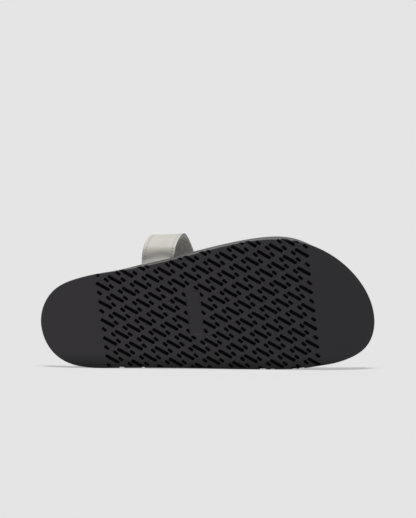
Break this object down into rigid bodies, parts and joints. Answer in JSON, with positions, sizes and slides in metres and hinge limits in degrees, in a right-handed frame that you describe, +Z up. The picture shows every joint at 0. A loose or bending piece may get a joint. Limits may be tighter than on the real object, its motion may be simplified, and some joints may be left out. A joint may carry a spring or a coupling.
{
  "type": "slide sandal",
  "caption": "Right-foot slide sandal lying on its inner side: slotted rubber outsole, foam midsole with a dished footbed, and a wide leather strap over the instep.",
  "frame": {"origin": "centre of the bounding box in plan, on the floor that the shoe lies on", "axes": "+X from heel to toe, +Y from the ground face of the sole towards the foot, +Z up, from the inner side of the shoe to its outer side"},
  "size_m": [0.2794, 0.0782, 0.1115],
  "materials": {
    "outsole_rubber": "dark grey moulded rubber, satin matt",
    "midsole_foam": "grey closed-cell foam, matt",
    "insole_suede": "dark grey suede-like cover, napped",
    "strap_leather": "smooth pale grey-beige leather, low sheen, grey napped lining"
  },
  "bodies": {
    "root": {"outsole": "outsole_rubber", "midsole": "midsole_foam", "insole": "insole_suede", "strap": "strap_leather"}
  },
  "joints": []
}
